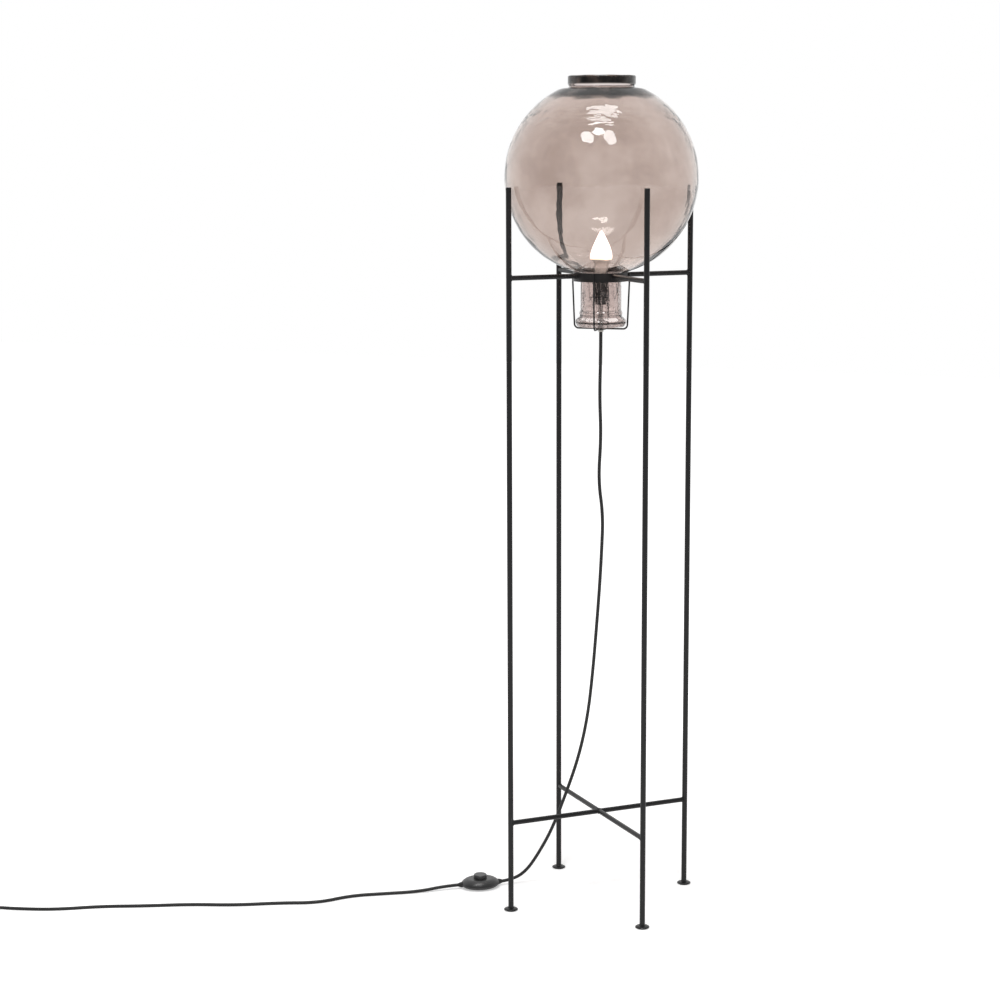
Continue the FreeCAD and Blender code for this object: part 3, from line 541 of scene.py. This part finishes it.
# %% Finish of the globe
def smoked_glass():
    """Blown glass with a rosy smoke in it, cloudier in some places than in others.

    Each wall lets through a share of each colour, and its colour is painted paler towards the
    globe's outline, a painted reflection. The collar and the band of shoulder just under it are
    dark in patches, partly from the collar's own darker smoke and partly as painted shade,
    apart from one clear line where the collar starts. The neck has seeds, which are small
    bubbles, upright threads that are broken into dots, and two dark lines of painted shade
    round its foot. Rays from the lamps pass straight through, so that the light reaches what
    stands inside.
    """
    finish = Finish("smoked_glass")
    height = finish.height()
    clouds = finish.cloud(11.0, 3.0, 0.6, seed=6.5)
    smoke = clouds.between(0.34, 0.66).colours((0.665, 0.58, 0.54), (0.77, 0.69, 0.65))
    # painted reflection: the base colour turns paler towards the globe's outline
    painted_rim_reflection = finish.node("LayerWeight", {}, {"Blend": 0.5}, "Facing")
    body = painted_rim_reflection.between(0.42, 0.85, 0.0, 0.55).colours(smoke, (0.93, 0.92, 0.91))

    # dark patches: partly the collar's own darker smoke, partly painted shade in the collar and in
    # the band of shoulder under it
    patches = finish.cloud(38.0, 3.0, 0.6, seed=5.0)
    dark_smoke_and_painted_shade = patches.between(0.42, 0.62).colours((0.04, 0.036, 0.035), (0.28, 0.235, 0.215))
    lip = height.between(shoulder_level, shoulder_level + 0.0012) * height.between(
        shoulder_level + 0.0055, shoulder_level + 0.0080, 1.0, 0.0
    )
    collar_and_painted_shade_band = height.between(shoulder_level - 0.0180, shoulder_level - 0.0130)

    in_neck = height.between(rim_level + 0.085, rim_level + neck_top, 1.0, 0.0)
    seeds = finish.cloud(420.0, 1.0, 0.5, (1.0, 1.0, 0.5), 9.0).between(0.62, 0.70)
    dots = finish.cloud(520.0, 1.0, seed=7.0).between(0.42, 0.52)
    threads = finish.cloud(60.0, 1.0, 0.5, (1.0, 1.0, 0.10), 12.0).near(0.53, 0.016) * dots
    # painted shade: two dark wavy lines round the neck's foot, at the flange's edge and at the bead's
    # foot
    wander = height - finish.cloud(45.0, 1.0, seed=3.0) * 0.004
    painted_shade_foot_lines = wander.near(rim_level + 0.0063, 0.0024) + wander.near(rim_level + 0.0197, 0.0009)
    neck = (threads + painted_shade_foot_lines + seeds * 0.4).between(0.0, 1.0).colours(
        (0.75, 0.665, 0.64), (0.07, 0.058, 0.054)
    )

    broad = finish.bump(finish.cloud(18.0, seed=4.0), 0.0030, 0.6)
    marked = height.near(globe_centre + 0.108, 0.028)
    turning_marks = finish.cloud(95.0, 1.0, 0.5, (0.35, 0.35, 1.0), 6.0) - 0.5
    turned = finish.bump(turning_marks * marked, 0.0045, 0.8, broad)
    finish.set(
        Base_Color=collar_and_painted_shade_band.colours(
            in_neck.colours(body, neck), lip.colours(dark_smoke_and_painted_shade, (0.74, 0.66, 0.64))
        ),
        Roughness=0.0,
        Normal=finish.bump((seeds * 0.6 + threads) * in_neck, 0.0005, 0.8, turned),
        Transmission_Weight=1.0,
        IOR=1.46,
    )
    passing = finish.node("BsdfTransparent", {}, {"Color": (0.86, 0.81, 0.79)}, "BSDF")
    lamp_ray = finish.node("LightPath", {}, {}, "Is Shadow Ray")
    glass = Wire(finish.tree, finish.shader.outputs["BSDF"])
    either = finish.node("MixShader", {}, {0: lamp_ray, 1: glass, 2: passing})
    finish.join(finish.surface.inputs["Surface"], either)
    return finish.material


finishes["smoked_glass"] = smoked_glass()
print("glass made of", len(finishes["smoked_glass"].node_tree.nodes), "nodes")

# %% [markdown]
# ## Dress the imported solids
#
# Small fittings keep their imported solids, whose shape is already right: boss, stem, bush,
# lampholder, screws, terminals and so on. They only need their finish. The record says which
# finish each node has, so one loop dresses them all, and a part can't be forgotten.

# %% One finish for each solid
slot_of = {part["node"]: part["material_slot"] for part in frame["record"]["subparts"]}
for name, node in frame["nodes"].items():
    if not node.material_slots:
        node.data.materials.append(None)
    for place in node.material_slots:
        place.material = finishes[slot_of[name]]
for cord in (hanging_cord, floor_cord):
    cord.data.materials.append(finishes["black_cord"])
print("dressed", len(slot_of), "nodes with", len(finishes), "finishes")

# %% [markdown]
# ## The globe
#
# Mouth-blown glass is never quite even: its wall is thicker in some places, and both of its
# faces have long soft waves. That is what bends the bars seen through it. So the globe isn't a
# perfect ball: its closed section, outside and inside, is turned round the axis, and then
# each face is drawn into the glass by a sum of slow waves, by a little over a millimetre at
# most. The neck was pressed into a mould while hot, so its waves are shorter.

# %% Section of the globe's wall
wall = 0.0035
neck_radius = 0.0372
neck_bend_radius = 0.006
flange_radius = 0.0465
shoulder_bend_radius = 0.024
collar_radius = 0.0615
collar_wall = 0.005
ball_past_flange = 0.1285
globe_radius = flange_radius + ball_past_flange
bend_points, ball_points = 6, 34


def globe_section():
    """Closed outline (distance, height): up the outside, over the collar, down the inside."""
    reach = globe_radius + neck_bend_radius
    bend = neck_radius + neck_bend_radius
    neck_bend = (bend, globe_centre - math.sqrt(reach ** 2 - bend ** 2))
    neck_turn = math.degrees(math.atan2(globe_centre - neck_bend[1], -bend))
    lower_turn = neck_turn - 180
    bend_level = shoulder_level - shoulder_bend_radius
    bend_reach = globe_radius - shoulder_bend_radius
    shoulder_bend = (math.sqrt(bend_reach ** 2 - (bend_level - globe_centre) ** 2), bend_level)
    upper_turn = math.degrees(math.atan2(bend_level - globe_centre, shoulder_bend[0]))
    middle = (0.0, globe_centre)
    inner_neck = neck_radius - wall
    top = globe_high.z
    inner_collar = collar_radius - collar_wall
    foot_outside = [
        (0.0382, rim_level + 0.0010), (0.0405, rim_level), (0.0428, rim_level + 0.0009),
        (0.0449, rim_level + 0.0042), (flange_radius, rim_level + 0.0085),
        (0.0459, rim_level + 0.0122), (0.0425, rim_level + 0.0158),
        (0.0387, rim_level + 0.0188), (0.0387, rim_level + 0.0215), (0.0394, rim_level + 0.0242),
        (0.0386, rim_level + 0.0272), (neck_radius, rim_level + 0.0300),
    ]
    neck_outside = [
        (neck_radius, rim_level + level) for level in np.linspace(0.035, 0.085, 6)
    ]
    collar_outside = [
        (collar_radius + 0.0030, shoulder_level), (collar_radius, shoulder_level + 0.0002),
        (collar_radius - 0.0020, shoulder_level + 0.0012),
        (collar_radius - 0.0024, shoulder_level + 0.0028),
        (collar_radius - 0.0010, shoulder_level + 0.0048),
        (collar_radius, shoulder_level + 0.0075), (collar_radius, shoulder_level + 0.0130),
        (collar_radius, top - 0.0035), (collar_radius - 0.0008, top - 0.0009),
        (collar_radius - 0.0025, top), (collar_radius - 0.0042, top - 0.0009),
        (inner_collar, top - 0.0035), (inner_collar, shoulder_level + 0.0100),
        (inner_collar, shoulder_level + 0.0010), (inner_collar + 0.0008, shoulder_level - 0.0022),
        (inner_collar + 0.0035, shoulder_level - wall),
    ]
    neck_inside = [(inner_neck, rim_level + level) for level in np.linspace(0.085, 0.035, 6)]
    foot_inside = [
        (inner_neck, rim_level + 0.0280), (0.0352, rim_level + 0.0215),
        (0.0385, rim_level + 0.0145), (0.0411, rim_level + 0.0090), (0.0402, rim_level + 0.0050),
    ]
    return np.vstack([
        foot_outside,
        neck_outside,
        arc(neck_bend, neck_bend_radius, 180, neck_turn, bend_points),
        arc(middle, globe_radius, lower_turn, upper_turn, ball_points)[1:],
        arc(shoulder_bend, shoulder_bend_radius, upper_turn, 90, bend_points)[1:],
        collar_outside,
        arc(shoulder_bend, shoulder_bend_radius - wall, 90, upper_turn, bend_points),
        arc(middle, globe_radius - wall, upper_turn, lower_turn, ball_points)[1:],
        arc(neck_bend, neck_bend_radius + wall, neck_turn, 180, bend_points)[1:],
        neck_inside,
        foot_inside,
    ])


globe_outline = smooth_run(globe_section(), steps=2, closed=True)
print("section of the wall:", len(globe_outline), "points, height",
      round(float(np.ptp(globe_outline[:, 1])), 4), "m")

# %% Waves in the glass
ball_wave_depth, neck_wave_depth = 0.0012, 0.0009
neck_fade = 0.03                               # metres over which one kind takes over


def waves(angle, run, seed, count, round_most, along_most):
    """Uneven height from 0 to 1 over a surface.

    Half of 1 plus the mean of several waves cos(m angle + k run + phase), with whole numbers
    m up to round_most so that they close round the axis, and k up to along_most turns per
    metre.
    """
    chance = np.random.default_rng(seed)
    m = chance.integers(1, round_most + 1, count)
    k = chance.uniform(-along_most, along_most, count) * 2 * np.pi
    phase = chance.uniform(0, 2 * np.pi, count)
    total = sum(np.cos(m[i] * angle + k[i] * run + phase[i]) for i in range(count))
    return 0.5 + 0.5 * total / count


def blown_globe(columns):
    """Turned section, each point drawn into the glass along the section's own normal."""
    ahead = np.roll(globe_outline, -1, axis=0) - np.roll(globe_outline, 1, axis=0)
    into = np.column_stack([-ahead[:, 1], ahead[:, 0]])
    into /= np.linalg.norm(into, axis=1, keepdims=True)
    steps = np.diff(globe_outline, axis=0, prepend=globe_outline[:1])
    run = np.cumsum(np.linalg.norm(steps, axis=1))[:, None]
    angle = turns(columns)[None, :]
    in_neck = np.clip((rim_level + neck_top - globe_outline[:, 1:]) / neck_fade, 0, 1)
    slow = waves(angle, run, seed=3, count=6, round_most=10, along_most=8.0)
    quick = waves(angle, run, seed=8, count=9, round_most=17, along_most=14.0)
    depth = ball_wave_depth * slow * (1 - in_neck) + neck_wave_depth * quick * in_neck
    distance = globe_outline[:, :1] + depth * into[:, :1]
    height = globe_outline[:, 1:] + depth * into[:, 1:]
    return np.stack([distance * np.cos(angle), distance * np.sin(angle), height], axis=-1)


blown_glass = make_piece(
    "blown_glass_globe", [blown_globe(240)], "globe", ["globe_glass"], "smoked_glass",
    hoop=True, crease=180.0,
)
print("globe:", len(blown_glass.data.polygons), "faces")

# %% [markdown]
# ## The bulb's dome
#
# The lit part of the bulb is a frosted cone with rounded sides: widest near its foot and drawn
# to a rounded point. A turned profile through a few measured places gives that line; a
# stretched ball would be too blunt at the top.

# %% Cone-shaped dome
dome_low, dome_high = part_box("bulb_dome")
dome_radius = dome_high.x
dome_shares = np.array([
    (0.94, 0.00), (0.99, 0.03), (1.00, 0.09), (0.97, 0.20), (0.88, 0.34), (0.75, 0.48),
    (0.58, 0.63), (0.40, 0.78), (0.245, 0.90), (0.135, 0.962), (0.06, 0.992), (0.0, 1.0),
])
dome_profile = np.column_stack([
    dome_radius * dome_shares[:, 0],
    dome_low.z + (dome_high.z - dome_low.z) * dome_shares[:, 1],
])
glowing_dome = make_piece(
    "glowing_dome", [turned_grid(smooth_run(dome_profile, steps=5), count=72)], "bulb",
    ["bulb_dome"], "frosted_dome", crease=60.0,
)
print("dome:", len(glowing_dome.data.polygons), "faces")

# %% [markdown]
# ## Bars and their welds
#
# Each bar is a long round surface along a line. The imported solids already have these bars,
# but with few flat sides, which a satin black shows as stripes, so they are drawn again with
# more. Where a bar meets another, a welder laid a bead of molten steel. The line where two
# round bars meet at a right angle is known exactly, and a thin round bead carried along that
# line, swelling and sinking in small steps, looks just like the real one under its coat.

# %% Round bars
bar_sides = 40


def two_across(along):
    """Two directions at right angles to a line and to each other."""
    upright = np.array([0.0, 0.0, 1.0]) if abs(along[2]) < 0.9 else np.array([1.0, 0.0, 0.0])
    across = np.cross(upright, along)
    across /= np.linalg.norm(across)
    return across, np.cross(along, across)


def round_bar(start, end, radius, chamfers=(0.0, 0.0)):
    """Surface of a bar: point = start + along s + radius (across cos + over sin).

    At each end the radius shrinks by that end's chamfer, over the same length.
    """
    start, end = np.array(start, dtype=float), np.array(end, dtype=float)
    length = np.linalg.norm(end - start)
    along = (end - start) / length
    across, over = two_across(along)
    between_ends = np.linspace(0.1, 0.9, 5) * length
    run = np.array([0, chamfers[0], *between_ends, length - chamfers[1], length])
    width = np.full(len(run), radius)
    width[[0, -1]] -= chamfers
    angle = turns(bar_sides)
    spoke = np.cos(angle)[:, None] * across + np.sin(angle)[:, None] * over
    return start + run[:, None, None] * along + width[:, None, None] * spoke[None]


corners = {
    name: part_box("leg_" + name) for name in ("front_left", "front_right", "back_right", "back_left")
}
leg_radius = (corners["front_left"][1].x - corners["front_left"][0].x) / 2
leg_middle = {
    name: np.array([(low.x + high.x) / 2, (low.y + high.y) / 2, 0.0])
    for name, (low, high) in corners.items()
}
leg_foot, leg_top = corners["front_left"][0].z, corners["front_left"][1].z
up = np.array([0.0, 0.0, 1.0])
for name, middle in leg_middle.items():
    make_piece(
        "leg_bar_" + name,
        [round_bar(middle + leg_foot * up, middle + leg_top * up, leg_radius, (0.0003, 0.0006))],
        "stand", ["leg_" + name], "black_steel",
    )
print("legs:", len(leg_middle), "bars of radius", round(leg_radius, 4))

# %% Cross bars and arms
def inset(start, end, first, last):
    """The same line, shortened by two lengths, so that a bar ends inside the one it meets."""
    along = (end - start) / np.linalg.norm(end - start)
    return start + first * along, end - last * along


brace_low, brace_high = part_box("brace_through_bar")
brace_level = (brace_low.z + brace_high.z) / 2
arm_low, arm_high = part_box("arm_front_left")
arm_level = (arm_low.z + arm_high.z) / 2
brace_radius = arm_radius = 0.0045
ring_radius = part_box("support_ring")[1].x
sunk_to = 0.8                                  # of a partner's radius, where a bar's end hides
into_ring = 0.0005
leg_skin = sunk_to * leg_radius
brace_middle = brace_level * up
through = inset(
    leg_middle["back_left"] + brace_middle, leg_middle["front_right"] + brace_middle,
    leg_skin, leg_skin,
)
make_piece(
    "brace_bar_through", [round_bar(*through, brace_radius)],
    "stand", ["brace_through_bar"], "black_steel",
)
for name in ("front_left", "back_right"):
    half = inset(leg_middle[name] + brace_middle, brace_middle, leg_skin, sunk_to * brace_radius)
    make_piece(
        "brace_bar_" + name, [round_bar(*half, brace_radius)],
        "stand", ["brace_half_" + name], "black_steel",
    )
for name, middle in leg_middle.items():
    arm = inset(arm_level * up, middle + arm_level * up, ring_radius - into_ring, leg_skin)
    make_piece(
        "arm_bar_" + name, [round_bar(*arm, arm_radius)],
        "stand", ["arm_" + name], "black_steel",
    )
print("brace at", round(brace_level, 4), "arms at", round(arm_level, 4))

# %% Weld beads
bead_step = 0.0016                             # metres from one swelling to the next
bead_swell = 0.20                              # of its size, more and less


def weld_bead(middle, along, partner_axis, bar_radius, partner_radius, size=0.0011):
    """Bead round the line where a bar meets a round partner at a right angle.

    At an angle t round the bar, the line lies bar_radius sin t along the partner's axis,
    bar_radius cos t to the side, and sqrt(partner_radius^2 - (bar_radius cos t)^2) out. The
    bead is a small circle carried round it, whose size swells in even steps.
    """
    along, axis = np.array(along, dtype=float), np.array(partner_axis, dtype=float)
    aside = np.cross(axis, along)
    t = turns(120)[:, None]
    spoke = np.cos(t) * aside + np.sin(t) * axis
    out = np.sqrt(np.maximum(partner_radius ** 2 - (bar_radius * np.cos(t)) ** 2, 0))
    line = np.array(middle) + bar_radius * spoke + out * along
    steps = 2 * np.pi * bar_radius / bead_step
    swell = size * (1 + bead_swell * np.cos(round(steps) * t))
    round_bead = turns(10)
    section = (
        np.cos(round_bead)[None, :, None] * spoke[:, None, :]
        + np.sin(round_bead)[None, :, None] * along[None, None, :]
    )
    return line[:, None, :] + swell[:, None, :] * section


def to_leg(name):
    """Direction from the lamp's axis to a leg."""
    return leg_middle[name] / np.linalg.norm(leg_middle[name])


arm_beads, brace_beads, ring_beads = [], [], []
for name, middle in leg_middle.items():
    arm_beads.append(weld_bead(middle + arm_level * up, -to_leg(name), up, arm_radius, leg_radius))
    brace_beads.append(
        weld_bead(middle + brace_middle, -to_leg(name), up, brace_radius, leg_radius)
    )
    ring_beads.append(weld_bead(arm_level * up, to_leg(name), up, arm_radius, ring_radius))
for name in ("front_left", "back_right"):
    brace_beads.append(weld_bead(
        brace_middle, to_leg(name), to_leg("front_right"), brace_radius, brace_radius
    ))
foot_beads = [
    weld_bead(middle + (leg_foot - 0.0002) * up, up, to_leg(name), leg_radius, 0.0, 0.0009)
    for name, middle in leg_middle.items()
]
for name, beads in {
    "arm_welds": arm_beads, "brace_welds": brace_beads, "ring_welds": ring_beads,
    "foot_welds": foot_beads,
}.items():
    make_piece(name, beads, "stand", (), "black_steel", hoop=True, crease=180.0)
    print(name, len(beads), "beads")

# %% [markdown]
# ## Floor, backdrop and light
#
# The photograph is a cut-out on white: only a trace of shadow is left. Pouring light on a
# white floor until it is white would wash out the lamp as well. Instead the floor is pale, and
# its material adds its own white for rays that come from the camera or through glass, so it
# looks white and still darkens where the lamp shades it. The world does the same: it is
# white to the camera, to gloss and through glass, and dimmer as a source of light. What a
# glossy face mirrors is white on the backdrop's side and dimmer on the camera's side, as in
# a room with one white wall. That is why real glass looks dark in its middle and pale at its
# rim.

# %% Floor and world
dim_light = 0.38                               # strength of the world as a source of light
sky_mirror_dim, floor_mirror_dim = 0.72, 0.6   # taken off the white that a glossy face mirrors


def ray_kind(wire):
    """Outputs of a Light Path node, by name: what kind of ray asks for the colour."""
    path = wire.node("LightPath", {}, {}, "Is Camera Ray")
    return {socket.name: Wire(wire.tree, socket) for socket in path.output.node.outputs}


def seen_ray(wire, ray):
    """1 for rays from the camera, in a reflection or through glass; 0 for light on its way."""
    mirrored_or_through = wire.maths("MAXIMUM", ray["Is Glossy Ray"], ray["Is Transmission Ray"])
    return wire.maths("MAXIMUM", ray["Is Camera Ray"], mirrored_or_through)


def mirrored(ray):
    """1 for a ray that has been mirrored on its way, also where glass followed."""
    return ray["Glossy Depth"].between(0.4, 0.6)


floor_finish = Finish("studio_floor")
mottle = floor_finish.cloud(3.0, 2.0)
floor_finish.set(
    Base_Color=mottle.colours((0.93, 0.93, 0.93), (0.95, 0.95, 0.95)),
    Roughness=mottle.between(0.0, 1.0, 0.85, 0.95),
    Specular_IOR_Level=0.0,
)
shaded = Wire(floor_finish.tree, floor_finish.shader.outputs["BSDF"])
away = floor_finish.node("VectorMath", {"operation": "LENGTH"}, {0: floor_finish.place}, "Value")
floor_ray = ray_kind(floor_finish)
white_added = away.between(0.30, 1.50, 0.42, 0.85) * (1 - mirrored(floor_ray) * floor_mirror_dim)
own_white = floor_finish.node("Emission", {}, {
    "Color": (1.0, 1.0, 1.0), "Strength": seen_ray(floor_finish, floor_ray) * white_added,
})
floor_finish.join(
    floor_finish.surface.inputs["Surface"],
    floor_finish.node("AddShader", {}, {0: shaded, 1: own_white}),
)
floor_half = 9.0
floor_mesh = bpy.data.meshes.new("studio_floor")
floor_mesh.from_pydata(
    [(-floor_half, -floor_half, 0), (floor_half, -floor_half, 0), (floor_half, floor_half, 0),
     (-floor_half, floor_half, 0)], [], [(0, 1, 2, 3)],
)
floor_mesh.materials.append(floor_finish.material)
studio_floor = bpy.data.objects.new("studio_floor", floor_mesh)
bpy.context.scene.collection.objects.link(studio_floor)

studio = bpy.data.worlds.new("studio")
studio.use_nodes = True
studio.node_tree.nodes.clear()
sky = Wire(studio.node_tree)
to_camera = np.array([camera_place[0], camera_place[1], 0.0])
to_camera /= np.linalg.norm(to_camera)
direction = sky.node("TexCoord", {}, {}, "Generated")
to_front = sky.node(
    "VectorMath", {"operation": "DOT_PRODUCT"}, {0: direction, 1: tuple(to_camera)}, "Value"
)
sky_ray = ray_kind(sky)
backdrop = 1 - to_front.between(-0.30, 0.50) * mirrored(sky_ray) * sky_mirror_dim
sky_light = sky.node("Background", {}, {
    "Color": (1.0, 1.0, 1.0),
    "Strength": seen_ray(sky, sky_ray) * (backdrop - dim_light) + dim_light,
})
studio_output = studio.node_tree.nodes.new("ShaderNodeOutputWorld")
sky.join(studio_output.inputs["Surface"], sky_light)
bpy.context.scene.world = studio
print("floor", 2 * floor_half, "m wide; world light", dim_light)

# %% [markdown]
# ## Lamps
#
# One large lamp above gives the soft light, and its mirror image is the scribbled window near
# the top of the globe. Three smaller ones in front leave the three bright spots below it and
# the fine streak along each bar. Their places are given as seen from the globe, because that
# is what decides where their images lie on it. They are hidden from the camera and from rays
# through glass, so that only their light and their images are seen.

# %% Lamp placing
to_right = np.array([-to_camera[1], to_camera[0], 0.0])
globe_middle = np.array([0.0, 0.0, globe_centre])


def soft_lamp(name, elevation, heading, distance, width, height, power, shape="ELLIPSE"):
    """Area lamp aimed at the globe; its angles are in degrees.

    Direction = sin elevation up + cos elevation (cos heading to_camera + sin heading
    to_right), and the lamp stands that way, a distance from the globe's middle.
    """
    rise, turn = math.radians(elevation), math.radians(heading)
    level = math.cos(turn) * to_camera + math.sin(turn) * to_right
    direction = math.cos(rise) * level + math.sin(rise) * up
    light = bpy.data.lights.new(name, "AREA")
    light.shape = shape
    light.size, light.size_y, light.energy = width, height, power
    lamp = bpy.data.objects.new(name, light)
    lamp.location = Vector(globe_middle + distance * direction)
    lamp.rotation_euler = Vector(direction).to_track_quat("Z", "Y").to_euler()
    lamp.visible_camera = lamp.visible_transmission = False
    bpy.context.scene.collection.objects.link(lamp)


soft_lamp("lamp_above", 79.0, 1.0, 1.7, 0.74, 0.66, 15.0, "RECTANGLE")
soft_lamp("lamp_front_left", 46.0, -20.5, 2.5, 0.72, 0.68, 20.0)
soft_lamp("lamp_front_middle", 53.5, -2.5, 2.5, 0.46, 0.40, 9.0)
soft_lamp("lamp_front_right", 47.5, 12.5, 2.5, 0.50, 0.84, 15.0)
bpy.context.scene.view_settings.view_transform = "Standard"
print("lamps:", len(bpy.data.lights))
